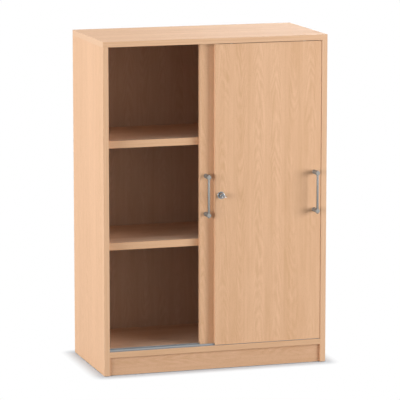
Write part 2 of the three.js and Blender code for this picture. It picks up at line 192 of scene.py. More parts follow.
for name, (place, aim, power, gleam) in LAMPS.items():
    light = bpy.data.lights.new(name, "AREA")
    light.shape = "DISK"
    light.size = LAMP_SIZE
    light.energy = power
    light.specular_factor = gleam
    lamp = bpy.data.objects.new(name, light)
    lamp.location = place
    lamp.rotation_euler = (Vector(aim) - Vector(place)).to_track_quat("-Z", "Y").to_euler()
    scene.collection.objects.link(lamp)


# Side panels: chipboard faced with a printed beech decor, its grain upright, with plastic edging
# pressed on with glue along the front and rear; drilled for shelf pins, dowels and glides.
EDGING = 2.0
GLUE_LINE = 0.15
EDGE_ROUNDING = 0.5
EDGE_STEPS = 4
RAW_ROUNDING = 0.25
RAW_STEPS = 1
DECOR_FACE, EDGING_FACE, RAW_FACE, GLUE_FACE = range(4)
CAD_SEAM = 0.005
CUT_SEAM = 0.001
COPLANAR = math.radians(0.5)
SQUARE_ON = 0.999
ON_THE_SIDE = 0.01
UPRIGHT_ON_DOORS = (0, 0, 0)
UPRIGHT_ON_SIDES = (0, 0, math.pi / 2)
DECOR_LIGHT = "#F2C59F"
DECOR_DARK = "#DFAF85"
DECOR_FLECK = "#B98A60"
SIDE_LIGHT = "#EFC19A"
SIDE_DARK = "#E2B38A"
EDGING_LIGHT = "#EFC5A0"
EDGING_DARK = "#DFB189"
PLANK = 63.0
RING_STEP = 55.0
RING_BOW = 15.0
RING_DRIFT = 6.0
RING_START = 9.0
ARCH_WEIGHT = 0.2
FIGURE_WEIGHT = 0.7
GRAIN_WEIGHT = 0.8
PLANK_WEIGHT = 0.1
DARKEST = 0.82
LIGHTEST = 1.82


def streaked(tree, place, scale, turn=(0, 0, 0), **links):
    """Noise drawn out along the axes by a turn and a scale."""
    drawn_out = add(
        tree, "ShaderNodeMapping", {"Vector": place, "Rotation": turn, "Scale": scale}
    )
    noise = add(tree, "ShaderNodeTexNoise", {"Vector": drawn_out.outputs[0], "Scale": 1.0, **links})
    return noise.outputs["Fac"]


def surfaced(tree, colours, gloss, settings, relief=None):
    """The end of a finish. colours holds a share and the two colours it mixes, gloss a pattern and
    the roughness at its 0 and 1, and relief a height, its strength and its depth in metres."""
    share, first, second = colours
    mixed = add(tree, "ShaderNodeMix", {0: share, 6: first, 7: second}, data_type="RGBA")
    links = {"Base Color": mixed.outputs[2], **settings}
    if gloss:
        pattern, smoothest, roughest = gloss
        sheen = add(
            tree, "ShaderNodeMapRange", {"Value": pattern, "To Min": smoothest, "To Max": roughest}
        )
        links["Roughness"] = sheen.outputs[0]
    if relief:
        height, strength, depth = relief
        bump = add(
            tree, "ShaderNodeBump", {"Height": height, "Strength": strength, "Distance": depth}
        )
        links["Normal"] = bump.outputs[0]
    surface = add(tree, "ShaderNodeBsdfPrincipled", links)
    add(tree, "ShaderNodeOutputMaterial", {"Surface": surface.outputs[0]})


def beech_decor(name, turn, shift, light=DECOR_LIGHT, dark=DECOR_DARK):
    """Melamine paper printed as flat-sawn beech. The eye gets planks of soft nested arches between
    straight grain, short dark flecks, and a low even sheen. turn lays the grain along local Z."""
    material, tree, place = new_finish(name)
    in_mm = add(
        tree,
        "ShaderNodeMapping",
        {"Vector": place, "Location": shift, "Rotation": turn, "Scale": (1000,) * 3},
    )
    laid = in_mm.outputs[0]
    parts = add(tree, "ShaderNodeSeparateXYZ", {0: laid})

    # Which plank of the print a point lies on, and how far from its middle
    planks = add(tree, "ShaderNodeMath", {0: parts.outputs["X"], 1: PLANK}, operation="DIVIDE")
    number = add(tree, "ShaderNodeMath", {0: planks.outputs[0]}, operation="FLOOR")
    share = add(tree, "ShaderNodeMath", {0: planks.outputs[0]}, operation="FRACT")
    centred = add(tree, "ShaderNodeMath", {0: share.outputs[0], 1: 0.5}, operation="SUBTRACT")
    dice = add(tree, "ShaderNodeTexWhiteNoise", {"W": number.outputs[0]}, noise_dimensions="1D")
    chance = dice.outputs["Value"]
    upward = add(tree, "ShaderNodeMath", {0: chance, 1: 0.5}, operation="GREATER_THAN")
    signed = add(
        tree, "ShaderNodeMapRange", {"Value": upward.outputs[0], "To Min": -1.0, "To Max": 1.0}
    )

    # The arches: rings cut flat, 55 mm apart up the middle and closing up towards the plank's sides
    drift = streaked(tree, laid, (1 / 34, 1 / 200, 1 / 210), Detail=3.0, Roughness=0.45)
    climb = add(
        tree, "ShaderNodeMath", {0: parts.outputs["Z"], 1: signed.outputs[0]}, operation="MULTIPLY"
    )
    rings = add(tree, "ShaderNodeMath", {0: climb.outputs[0], 1: RING_STEP}, operation="DIVIDE")
    bowed = add(
        tree, "ShaderNodeMath", {0: centred.outputs[0], 1: centred.outputs[0]}, operation="MULTIPLY"
    )
    for part, weight in ((bowed.outputs[0], RING_BOW), (drift, RING_DRIFT), (chance, RING_START)):
        rings = add(
            tree,
            "ShaderNodeMath",
            {0: part, 1: weight, 2: rings.outputs[0]},
            operation="MULTIPLY_ADD",
        )
    phase = add(tree, "ShaderNodeMath", {0: rings.outputs[0], 1: 2 * math.pi}, operation="MULTIPLY")
    wave = add(tree, "ShaderNodeMath", {0: phase.outputs[0]}, operation="SINE")
    from_middle = add(tree, "ShaderNodeMath", {0: centred.outputs[0]}, operation="ABSOLUTE")
    inside = add(
        tree,
        "ShaderNodeMapRange",
        {
            "Value": from_middle.outputs[0],
            "From Min": 0.2,
            "From Max": 0.46,
            "To Min": 1.0,
            "To Max": 0.0,
        },
        interpolation_type="SMOOTHSTEP",
    )
    patch = streaked(tree, laid, (1 / 90, 1 / 200, 1 / 320), Detail=1.0)
    present = add(tree, "ShaderNodeMapRange", {"Value": patch, "From Min": 0.36, "From Max": 0.56})
    held = add(
        tree, "ShaderNodeMath", {0: inside.outputs[0], 1: present.outputs[0]}, operation="MULTIPLY"
    )
    arches = add(
        tree, "ShaderNodeMath", {0: wave.outputs[0], 1: held.outputs[0]}, operation="MULTIPLY"
    )

    # Straight grain a few millimetres wide, and broad light and dark bands
    grain = streaked(tree, laid, (1 / 7, 1 / 30, 1 / 420), Detail=3.0, Roughness=0.55)
    bands = streaked(tree, laid, (1 / 48, 1 / 90, 1 / 1100), Detail=1.0)

    # Figure: soft drawn-out clouds, 15 mm wide, where the growth rings lie flat in the print
    figure = streaked(tree, laid, (1 / 15, 1 / 60, 1 / 95), Detail=2.0, Distortion=0.6)

    # The rays of beech: dark dashes 2 or 3 mm long and under 1 mm wide
    dashes = streaked(tree, laid, (1 / 0.9, 1 / 3.0, 1 / 3.4), Detail=1.0, Roughness=0.4)
    flecks = add(
        tree,
        "ShaderNodeMapRange",
        {"Value": dashes, "From Min": 0.56, "From Max": 0.74, "To Max": 0.4},
    )

    # How light the ink is: the bands, and on them the arches, figure, grain and each plank's own
    ink = bands
    for part, weight in (
        (arches.outputs[0], ARCH_WEIGHT),
        (figure, FIGURE_WEIGHT),
        (grain, GRAIN_WEIGHT),
        (chance, PLANK_WEIGHT),
    ):
        total = add(tree, "ShaderNodeMath", {0: part, 1: weight, 2: ink}, operation="MULTIPLY_ADD")
        ink = total.outputs[0]
    tone = add(tree, "ShaderNodeMapRange", {"Value": ink, "From Min": DARKEST, "From Max": LIGHTEST})
    printed = add(
        tree,
        "ShaderNodeMix",
        {0: tone.outputs[0], 6: linear(dark), 7: linear(light)},
        data_type="RGBA",
    )

    # The press plate leaves a fine pearl, drawn here twice as coarse as the real 0.4 mm
    pearl = add(tree, "ShaderNodeTexNoise", {"Vector": laid, "Scale": 1.2, "Detail": 1.0})
    pressed = add(
        tree, "ShaderNodeMath", {0: pearl.outputs["Fac"], 1: flecks.outputs[0]}, operation="SUBTRACT"
    )
    surfaced(
        tree,
        (flecks.outputs[0], printed.outputs[2], linear(DECOR_FLECK)),
        (pearl.outputs["Fac"], 0.46, 0.58),
        {"IOR": 1.5, "Specular IOR Level": 0.3},
        (pressed.outputs[0], 0.25, 0.00003),
    )
    return material


def beech_edging(name, turn, light=EDGING_LIGHT, dark=EDGING_DARK):
    """ABS edging printed to match the faces: straight fine grain and short flecks, no arches."""
    material, tree, place = new_finish(name)
    in_mm = add(tree, "ShaderNodeMapping", {"Vector": place, "Rotation": turn, "Scale": (1000,) * 3})
    grain = streaked(tree, in_mm.outputs[0], (1 / 2.4, 1 / 2.4, 1 / 160), Detail=3.0)
    tone = add(tree, "ShaderNodeMapRange", {"Value": grain, "From Min": 0.2, "From Max": 0.8})
    dashes = streaked(tree, in_mm.outputs[0], (1 / 0.8, 1 / 0.8, 1 / 3.6))
    flecks = add(
        tree,
        "ShaderNodeMapRange",
        {"Value": dashes, "From Min": 0.58, "From Max": 0.72, "To Max": 0.22},
    )
    printed = add(
        tree,
        "ShaderNodeMix",
        {0: tone.outputs[0], 6: linear(dark), 7: linear(light)},
        data_type="RGBA",
    )
    surfaced(
        tree,
        (flecks.outputs[0], printed.outputs[2], linear(DECOR_FLECK)),
        (grain, 0.38, 0.5),
        {"IOR": 1.5, "Specular IOR Level": 0.35},
        (grain, 0.3, 0.00004),
    )
    return material


edging_upright = beech_edging("beech_abs_edging_upright", UPRIGHT_ON_DOORS)

# Raw chipboard where it is sawn or drilled: pale and brown chips of 1 to 4 mm, rough and dull
chipboard, tree, place = new_finish("raw_chipboard")
laid = add(tree, "ShaderNodeMapping", {"Vector": place, "Scale": (420, 420, 640)})
chips = add(tree, "ShaderNodeTexVoronoi", {"Vector": laid.outputs[0], "Scale": 1.0})
chip = add(tree, "ShaderNodeSeparateColor", {0: chips.outputs["Color"]})
dust = add(tree, "ShaderNodeTexNoise", {"Vector": laid.outputs[0], "Scale": 3.0, "Detail": 4.0})
mixed = add(
    tree,
    "ShaderNodeMath",
    {0: dust.outputs["Fac"], 1: 0.6, 2: chip.outputs[0]},
    operation="MULTIPLY_ADD",
)
tone = add(
    tree, "ShaderNodeMapRange", {"Value": mixed.outputs[0], "From Min": 0.15, "From Max": 1.45}
)
surfaced(
    tree,
    (tone.outputs[0], linear("#9A7A52"), linear("#DABF94")),
    (dust.outputs["Fac"], 0.8, 0.95),
    {"IOR": 1.5},
    (mixed.outputs[0], 0.6, 0.0002),
)

# The glue line between edging and board: a hair-thin brown seam, broken here and there
glue_line, tree, place = new_finish("edging_glue_line")
squeezed = add(tree, "ShaderNodeTexNoise", {"Vector": place, "Scale": 260.0, "Detail": 2.0})
surfaced(
    tree,
    (squeezed.outputs["Fac"], linear("#A67C54"), linear("#CFA57E")),
    None,
    {"Roughness": 0.7, "IOR": 1.5},
)


def merged_copy(node):
    """A bmesh of a CAD node with its loose triangles joined into clean faces."""
    bm = bmesh.new()
    bm.from_mesh(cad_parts[node].data)
    bmesh.ops.remove_doubles(bm, verts=bm.verts, dist=CAD_SEAM * MM)
    bmesh.ops.dissolve_limit(bm, angle_limit=COPLANAR, verts=bm.verts, edges=bm.edges)
    return bm


def rounded(bm, edges, width, steps):
    """Rounds edges and shades only the new faces smooth, so that the flats beside them stay flat."""
    result = bmesh.ops.bevel(
        bm,
        geom=edges,
        offset=width * MM,
        offset_type="OFFSET",
        segments=steps,
        profile=0.5,
        affect="EDGES",
        clamp_overlap=True,
    )
    for face in result["faces"]:
        face.smooth = True


def board(name, node, decor, edging, thickness_axis, edged):
    """A board from its CAD solid: decor on its two faces, edging with a glue line along the sides
    in edged, which holds (axis, sign) pairs, and raw chipboard in every cut and hole."""
    low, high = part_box(node)
    bm = merged_copy(node)
    ends = {(axis, sign): (high if sign > 0 else low)[axis] for axis, sign in edged}
    for (axis, sign), end in ends.items():
        for inset in (EDGING, EDGING + GLUE_LINE):
            point = Vector()
            point[axis] = end - sign * inset * MM
            normal = Vector()
            normal[axis] = 1
            bmesh.ops.bisect_plane(
                bm,
                geom=[*bm.verts, *bm.edges, *bm.faces],
                dist=CUT_SEAM * MM,
                plane_co=point,
                plane_no=normal,
            )

    def outer(face):
        """The axis and sign of the board's outer side that a face lies on, or None."""
        for axis in range(3):
            if abs(face.normal[axis]) > SQUARE_ON:
                sign = 1 if face.normal[axis] > 0 else -1
                end = (high if sign > 0 else low)[axis]
                if abs(face.verts[0].co[axis] - end) < ON_THE_SIDE * MM:
                    return axis, sign
        return None

    bm.normal_update()
    sides = {face: outer(face) for face in bm.faces}
    for face, side in sides.items():
        middle = face.calc_center_median()
        depths = [sign * (end - middle[axis]) for (axis, sign), end in ends.items()]
        depth = min(depths, default=1)
        face.smooth = False
        if depth < EDGING * MM:
            face.material_index = EDGING_FACE
        elif depth < (EDGING + GLUE_LINE) * MM:
            face.material_index = GLUE_FACE
        elif side and side[0] == thickness_axis:
            face.material_index = DECOR_FACE
        else:
            face.material_index = RAW_FACE

    def corner(edge):
        found = [sides.get(face) for face in edge.link_faces]
        return len(found) == 2 and None not in found and found[0] != found[1] and found

    round_edges = []
    raw_edges = []
    for edge in bm.edges:
        found = corner(edge)
        if found:
            (round_edges if any(side in ends for side in found) else raw_edges).append(edge)
    for edges, width, steps in (
        (raw_edges, RAW_ROUNDING, RAW_STEPS),
        (round_edges, EDGE_ROUNDING, EDGE_STEPS),
    ):
        rounded(bm, [edge for edge in edges if edge.is_valid], width, steps)
    return made(name, bm, decor, edging, chipboard, glue_line)


for side, shift in (("left", (210, 0, 60)), ("right", (830, 40, 900))):
    decor = beech_decor(
        f"beech_decor_{side}_side", UPRIGHT_ON_SIDES, shift, SIDE_LIGHT, SIDE_DARK
    )
    piece = board(
        f"{side}_side", f"side_panel_{side}", decor, edging_upright, 0, [(1, -1), (1, 1)]
    )
    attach(piece, "carcass")
    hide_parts(f"side_panel_{side}")


# The top and the base: the same faced chipboard with its grain running across the cabinet. The
# top lies over the sides and is edged all round; the base stands between them, edged in front.
LEVEL_ON_FLATS = (0, -math.pi / 2, math.pi / 2)
LEVEL_ON_FRONTS = (0, -math.pi / 2, 0)
# Darker, greyer copies of the decor and its edging for the base and shelves: painted shade inside the
# cabinet
SHADED_INNER_LIGHT = "#E2C3AD"
SHADED_INNER_DARK = "#CFAD91"
SHADED_EDGING_LIGHT = "#E9BE98"
SHADED_EDGING_DARK = "#DAAC83"

edging_level = beech_edging("beech_abs_edging_level", LEVEL_ON_FRONTS)
# The darker copy of the edging on the base's and shelves' fronts paints their shade
edging_inner_shaded = beech_edging(
    "beech_abs_edging_inner", LEVEL_ON_FRONTS, SHADED_EDGING_LIGHT, SHADED_EDGING_DARK
)

decor = beech_decor("beech_decor_top", LEVEL_ON_FLATS, (35, 500, 300))
piece = board(
    "top", "top_panel", decor, edging_level, 2, [(0, -1), (0, 1), (1, -1), (1, 1)]
)
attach(piece, "carcass")
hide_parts("top_panel")

# The base wears the darker inner copy of the decor, which paints the shade inside the cabinet
decor = beech_decor(
    "beech_decor_base_painted_shade", LEVEL_ON_FLATS, (520, 90, 1400), SHADED_INNER_LIGHT, SHADED_INNER_DARK
)
piece = board("base", "base_panel", decor, edging_inner_shaded, 2, [(1, -1)])
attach(piece, "carcass")
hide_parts("base_panel")


# The plinth stands back under the base and is glued to it; the back is a thin board that slides
# into grooves in the sides, the top and the base, its inner face darker and greyer as painted shade.
# A slightly darker copy of the decor for the plinth: painted shade low on the cabinet
SHADED_PLINTH_LIGHT = "#EABE9B"
SHADED_PLINTH_DARK = "#D8A981"
# A greyer, darker copy of the decor for the back's inner face: painted shade inside the cabinet
SHADED_BACK_LIGHT = "#CCB6A6"
SHADED_BACK_DARK = "#BBA28C"

decor = beech_decor(
    "beech_decor_plinth_painted_shade", LEVEL_ON_FRONTS, (15, 700, 650), SHADED_PLINTH_LIGHT, SHADED_PLINTH_DARK
)
piece = board("plinth", "plinth_board", decor, edging_level, 1, [(2, -1)])
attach(piece, "carcass")
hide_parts("plinth_board")

decor = beech_decor(
    "beech_decor_back", UPRIGHT_ON_DOORS, (240, 300, 2000), SHADED_BACK_LIGHT, SHADED_BACK_DARK
)
outer = beech_decor("beech_decor_back_outer", UPRIGHT_ON_DOORS, (700, 300, 2600))
piece = board("back", "back_panel", decor, edging_upright, 1, [])
piece.data.materials.append(outer)
for face in piece.data.polygons:
    if face.material_index == DECOR_FACE and face.normal.y > 0:
        face.material_index = len(piece.data.materials) - 1
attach(piece, "carcass")
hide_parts("back_panel")


# Shelves: thicker boards of the same make, edged in front, that rest loose on four pins each.
# Their decor and edging are the darker inner copies: painted shade inside the cabinet
for level, shift in (("lower", (60, 0, 2900)), ("upper", (450, 70, 3900))):
    decor = beech_decor(
        f"beech_decor_{level}_shelf", LEVEL_ON_FLATS, shift, SHADED_INNER_LIGHT, SHADED_INNER_DARK
    )
    piece = board(f"{level}_shelf", f"shelf_{level}", decor, edging_inner_shaded, 2, [(1, -1)])
    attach(piece, "carcass")
    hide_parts(f"shelf_{level}")


# Doors: faced chipboard with edging on all four sides, upright grain, a groove along the lower
# edge for the rail's rib, and mortises and holes for rollers, guides, handle screws and lock.
DOOR_SIDES = [(0, -1), (0, 1), (2, -1), (2, 1)]
for door, shift in (("front_door", (4.5, 800, 5000)), ("rear_door", (395, 900, 6300))):
    decor = beech_decor(f"beech_decor_{door}", UPRIGHT_ON_DOORS, shift)
    piece = board(f"{door}_leaf", f"{door}_panel", decor, edging_upright, 1, DOOR_SIDES)
    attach(piece, door)
    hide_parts(f"{door}_panel")


# Glides: moulded plastic discs with a barbed pin, pressed into the foot of each side panel so
# that the cabinet stands clear of the floor.
GLIDE_PLACE = (-390.5, -138.5, 0)
GLIDE_STEP = (781, 0, 0)
GLIDE_ROW_STEP = (0, 320, 0)
GLIDE_OUTLINE = [
    (0, 0),
    (8.5, 0, 1.2),
    (8.5, 2, 0.2),
    (2, 2),
    (2, 4.4),
    (1.6, 4.4),
    (2, 7.2),
    (1.6, 7.2),
    (2, 10),
    (1.6, 10),
    (2, 12.8),
    (0.8, 16, 0.4),
    (0, 16),
]
ARC_STEPS = 5
SEAM = 0.002
SMOOTH_UNDER = 35


def eased(outline, closed=False):
    """An outline in mm, each corner that has a third value rounded to that radius."""
    points = []
    for index, (a, b, *radius) in enumerate(outline):
        here = Vector((a, b))
        if not radius:
            points.append(here)
            continue
        before = (Vector(outline[index - 1][:2]) - here).normalized()
        after = (Vector(outline[(index + 1) % len(outline)][:2]) - here).normalized()
        half = before.angle(after) / 2
        centre = here + (before + after).normalized() * radius[0] / math.sin(half)
        start = here + before * radius[0] / math.tan(half) - centre
        end = here + after * radius[0] / math.tan(half) - centre
        shares = [step / ARC_STEPS for step in range(ARC_STEPS + 1)]
        arc = [start.normalized().slerp(end.normalized(), share) for share in shares]
        points += [centre + spoke * radius[0] for spoke in arc]
    return points + points[:1] if closed else points


def shaded(bm, angle=SMOOTH_UNDER):
    """Smooth faces, with the edges that turn by more than angle kept sharp."""
    bm.normal_update()
    for face in bm.faces:
        face.smooth = True
    for edge in bm.edges:
        edge.smooth = edge.calc_face_angle(0) < math.radians(angle)
    return bm


def turned(outline, place, axis, steps=40, closed=False):
    """A solid of revolution: (radius, distance) pairs in mm, about an axis through place."""
    bm = bmesh.new()
    chain = [bm.verts.new((point.x * MM, 0, point.y * MM)) for point in eased(outline, closed)]
    edges = [bm.edges.new(pair) for pair in zip(chain, chain[1:])]
    bmesh.ops.spin(
        bm,
        geom=[*chain, *edges],
        axis=(0, 0, 1),
        cent=(0, 0, 0),
        angle=2 * math.pi,
        steps=steps,
        use_merge=True,
    )
    bmesh.ops.remove_doubles(bm, verts=bm.verts, dist=SEAM * MM)
    bmesh.ops.recalc_face_normals(bm, faces=bm.faces)
    turn = Vector((0, 0, 1)).rotation_difference(Vector(axis)).to_matrix().to_4x4()
    bmesh.ops.transform(bm, matrix=Matrix.Translation(Vector(place) * MM) @ turn, verts=bm.verts)
    return shaded(bm)


def new_tree(name, inputs):
    """A geometry tree with these named inputs, and the sockets that hand them on."""
    tree = bpy.data.node_groups.new(name, "GeometryNodeTree")
    for way in ("INPUT", "OUTPUT"):
        tree.interface.new_socket("Geometry", in_out=way, socket_type="NodeSocketGeometry")
    for label, kind in inputs.items():
        tree.interface.new_socket(label, in_out="INPUT", socket_type=f"NodeSocket{kind}")
    return tree, add(tree, "NodeGroupInput").outputs


def end_tree(tree, mesh, finish):
    """Ends a tree in one real mesh that wears a finish."""
    real = add(tree, "GeometryNodeRealizeInstances", {"Geometry": mesh})
    worn = add(
        tree, "GeometryNodeSetMaterial", {"Geometry": real.outputs["Geometry"], "Material": finish}
    )
    add(tree, "NodeGroupOutput", {"Geometry": worn.outputs["Geometry"]})


# The tree that lays one small fitting out in rows, for every kind that repeats on a body
rows, given = new_tree(
    "fitting_in_rows",
    {
        "Fitting": "Object",
        "Count": "Int",
        "Step": "Vector",
        "Row Count": "Int",
        "Row Step": "Vector",
        "Finish": "Material",
    },
)
fitting = add(rows, "GeometryNodeObjectInfo", {"Object": given["Fitting"]})
copied = fitting.outputs["Geometry"]
for count, step in (("Count", "Step"), ("Row Count", "Row Step")):
    line = add(
        rows, "GeometryNodeMeshLine", {"Count": given[count], "Offset": given[step]}, mode="OFFSET"
    )
    copies = add(
        rows, "GeometryNodeInstanceOnPoints", {"Points": line.outputs["Mesh"], "Instance": copied}
    )
    copied = copies.outputs["Instances"]
end_tree(rows, copied, given["Finish"])


def grown(name, tree, inputs):
    """The plain mesh that a geometry tree gives for these inputs, as an object."""
    piece = made(name, bmesh.new())
    modifier = piece.modifiers.new("tree", "NODES")
    modifier.node_group = tree
    for socket in tree.interface.items_tree:
        if socket.in_out == "INPUT" and socket.name in inputs:
            modifier[socket.identifier] = inputs[socket.name]
    whole = piece.evaluated_get(bpy.context.evaluated_depsgraph_get())
    mesh = bpy.data.meshes.new_from_object(whole)
    mesh.name = name
    piece.modifiers.clear()
    piece.data = mesh
    return piece


def in_rows(name, bm, finish, count, step, row_count=1, row_step=(0, 0, 0)):
    """Copies of one fitting: count of them a step apart, in row_count rows a row step apart."""
    first = made(f"{name}_first", bm, finish)
    inputs = {
        "Fitting": first,
        "Count": count,
        "Step": [part * MM for part in step],
        "Row Count": row_count,
        "Row Step": [part * MM for part in row_step],
        "Finish": finish,
    }
    piece = grown(name, rows, inputs)
    bpy.data.objects.remove(first)
    return piece


def moulded_plastic(name, light, dark, roughness):
    """Injection moulded plastic: a satin skin from a spark-eroded mould, with faint cloudy flow
    marks. The real 0.1 mm pits are drawn at 0.5 mm, so that they show."""
    material, tree, place = new_finish(name)
    flow = add(tree, "ShaderNodeTexNoise", {"Vector": place, "Scale": 70.0, "Detail": 2.0})
    pits = add(tree, "ShaderNodeTexNoise", {"Vector": place, "Scale": 2000.0, "Detail": 1.0})
    surfaced(
        tree,
        (flow.outputs["Fac"], linear(dark), linear(light)),
        (flow.outputs["Fac"], roughness - 0.06, roughness + 0.06),
        {"IOR": 1.5},
        (pits.outputs["Fac"], 0.25, 0.00004),
    )
    return material


white_plastic = moulded_plastic("moulded_white_nylon", "#F0EFEA", "#E4E2DB", 0.45)
grey_plastic = moulded_plastic("moulded_grey_acetal", "#94989B", "#85898C", 0.42)

piece = in_rows(
    "glides",
    turned(GLIDE_OUTLINE, GLIDE_PLACE, (0, 0, 1)),
    white_plastic,
    2,
    GLIDE_STEP,
    2,
    GLIDE_ROW_STEP,
)
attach(piece, "carcass")
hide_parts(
    "glide_left_front", "glide_left_rear", "glide_right_front", "glide_right_rear"
)


# Dowels: fluted beech pegs glued half into each board. Four stand upright between the sides and
# the top, and four lie level between the sides and the base.
DOWEL_OUTLINE = [(0, 0), (4, 0, 1), (4, 35, 1), (0, 35)]
DOWEL_FLUTES = 18
DOWEL_FLUTE_DEPTH = 0.06
DOWEL_CORE = 3.2
FLUTES_SMOOTH_UNDER = 50
DOWEL_ROW_STEP = (0, 260, 0)
# For each edge: the first dowel's foot, the way it points, its grain's turn, and the step across
DOWELS = {
    "top": ((-390.5, -108.5, 1110), (0, 0, 1), (0, 0, 0), (781, 0, 0)),
    "base": ((-393, -108.5, 74.5), (1, 0, 0), (0, math.pi / 2, 0), (751, 0, 0)),
}


def fluted(bm, place, axis):
    """Presses the flutes along a dowel's round side."""
    centre = Vector(place) * MM
    line = Vector(axis)
    first = line.orthogonal()
    second = line.cross(first)
    for vert in bm.verts:
        offset = vert.co - centre
        spoke = offset - line * offset.dot(line)
        if spoke.length > DOWEL_CORE * MM:
            angle = math.atan2(spoke.dot(second), spoke.dot(first))
            depth = DOWEL_FLUTE_DEPTH * (0.5 - 0.5 * math.cos(DOWEL_FLUTES * angle))
            vert.co -= spoke * depth
    return shaded(bm, FLUTES_SMOOTH_UNDER)


def peg_beech(name, turn):
    """Bare turned beech: pink-brown, with close short fibres along the peg, dull and open."""
    material, tree, place = new_finish(name)
    fibres = streaked(tree, place, (1400, 1400, 90), turn, Detail=3.0)
    tone = add(tree, "ShaderNodeMapRange", {"Value": fibres, "From Min": 0.3, "From Max": 0.7})
    surfaced(
        tree,
        (tone.outputs[0], linear("#B98C66"), linear("#DDB892")),
        (fibres, 0.65, 0.85),
        {"IOR": 1.5},
        (fibres, 0.5, 0.0001),
    )
    return material


for edge, (place, axis, turn, step) in DOWELS.items():
    peg = fluted(turned(DOWEL_OUTLINE, place, axis, steps=72), place, axis)
    finish = peg_beech(f"bare_beech_peg_{edge}", turn)
    piece = in_rows(f"dowels_{edge}", peg, finish, 2, step, 2, DOWEL_ROW_STEP)
    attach(piece, "carcass")
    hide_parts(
        f"dowel_{edge}_left_front",
        f"dowel_{edge}_left_rear",
        f"dowel_{edge}_right_front",
        f"dowel_{edge}_right_rear",
    )


# Shelf pins: zinc plated steel, a round shank pushed into a row of holes in the side panel and a
# flat-topped head that the shelf rests on, four to a shelf.
PIN_SHANK = [(0, 0), (2.5, 0, 0.5), (2.5, 9), (0, 9)]
PIN_DEPTH = 9
PIN_HEAD = (9, 12, 8)
PIN_HEAD_ROUNDING = 1.2
PIN_WALL = 381
PIN_FRONT_ROW = -83
PIN_TOP = 430.5
PIN_ROW_STEP = (0, 226.5, 0)
PIN_LEVEL_STEP = (0, 0, 352)


def brick(low, high, rounding, steps=3):
    """A block between two corners in mm, with every edge rounded."""
    bm = bmesh.new()
    bmesh.ops.create_cube(bm, size=1)
    low = Vector(low) * MM
    high = Vector(high) * MM
    for vert in bm.verts:
        vert.co = [(a + b) / 2 + part * (b - a) for a, b, part in zip(low, high, vert.co)]
    rounded(bm, bm.edges[:], rounding, steps)
    return bm


def joined(*parts):
    """One bmesh out of several."""
    whole = bmesh.new()
    for part in parts:
        mesh = bpy.data.meshes.new("part")
        part.to_mesh(mesh)
        part.free()
        whole.from_mesh(mesh)
        bpy.data.meshes.remove(mesh)
    return whole


# Bright zinc plate on pressed or turned steel: blue-grey, with soft cloudy patches and a fine
# drag from the tools, drawn at 0.3 mm
zinc_plate, tree, place = new_finish("bright_zinc_plated_steel")
cloud = add(tree, "ShaderNodeTexNoise", {"Vector": place, "Scale": 400.0, "Detail": 2.0})
drag = add(tree, "ShaderNodeTexNoise", {"Vector": place, "Scale": 3300.0})
surfaced(
    tree,
    (cloud.outputs["Fac"], linear("#ABB0B8"), linear("#C8CBD0")),
    (cloud.outputs["Fac"], 0.24, 0.4),
    {"Metallic": 1.0},
    (drag.outputs["Fac"], 0.2, 0.00002),
)

length, width, height = PIN_HEAD
pair = []
for sign in (-1, 1):
    bore = (sign * (PIN_WALL + PIN_DEPTH), PIN_FRONT_ROW, PIN_TOP - height / 2)
    pair.append(turned(PIN_SHANK, bore, (-sign, 0, 0), steps=32))
    left, right = sorted((sign * PIN_WALL, sign * (PIN_WALL - length)))
    low = (left, PIN_FRONT_ROW - width / 2, PIN_TOP - height)
    high = (right, PIN_FRONT_ROW + width / 2, PIN_TOP)
    pair.append(brick(low, high, PIN_HEAD_ROUNDING))
piece = in_rows("shelf_pins", joined(*pair), zinc_plate, 2, PIN_ROW_STEP, 2, PIN_LEVEL_STEP)
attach(piece, "carcass")
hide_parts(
    *[
        f"shelf_pin_{level}_{side}_{row}"
        for level in ("lower", "upper")
        for side in ("left", "right")
        for row in ("front", "rear")
    ],
)


# The lower rail: an extruded aluminium strip with two ribs that the door rollers run on, clear
# anodised and screwed flat on the base. Its rib tops and feet are rounded by the die.
RAIL_ENDS = (-380.5, 380.5)
RAIL_PLATE = (84, 85.2)
RAIL_SIDES = (-173, -138.5)
RIB_TOP = 90.2
RIB_MIDDLES = (-167, -144.5)
RIB_HALF = 1.0


def extruded(outline, ends):
    """A closed (y, z) outline in mm drawn out along X between two ends."""
    bm = bmesh.new()
    near, far = [end * MM for end in ends]
    first = [bm.verts.new((near, point.x * MM, point.y * MM)) for point in outline]
    face = bm.faces.new(first)
    grown_faces = bmesh.ops.extrude_face_region(bm, geom=[face])
    moved = [item for item in grown_faces["geom"] if isinstance(item, bmesh.types.BMVert)]
    bmesh.ops.translate(bm, vec=(far - near, 0, 0), verts=moved)
    bmesh.ops.recalc_face_normals(bm, faces=bm.faces)
    return shaded(bm)


bottom, plate = RAIL_PLATE
front, rear = RAIL_SIDES
outline = [(front, bottom), (rear, bottom), (rear, plate, 0.5)]
for middle in reversed(RIB_MIDDLES):
    outline += [
        (middle + RIB_HALF, plate, 0.4),
        (middle + RIB_HALF, RIB_TOP, 0.9),
        (middle - RIB_HALF, RIB_TOP, 0.9),
        (middle - RIB_HALF, plate, 0.4),
    ]
outline.append((front, plate, 0.5))

# Clear anodised aluminium: pale neutral grey, drawn into lines along the rail by the die. The
# real lines are 0.1 mm apart and are drawn at 0.4 mm.
anodised_aluminium, tree, place = new_finish("anodised_aluminium")
lines = streaked(tree, place, (6, 2500, 2500), Detail=2.0)
surfaced(
    tree,
    (lines, linear("#848789"), linear("#9DA0A2")),
    (lines, 0.34, 0.5),
    {"Metallic": 1.0},
    (lines, 0.3, 0.00003),
)

piece = made("double_rail", extruded(eased(outline), RAIL_ENDS), anodised_aluminium)
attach(piece, "carcass")
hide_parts("lower_rail")


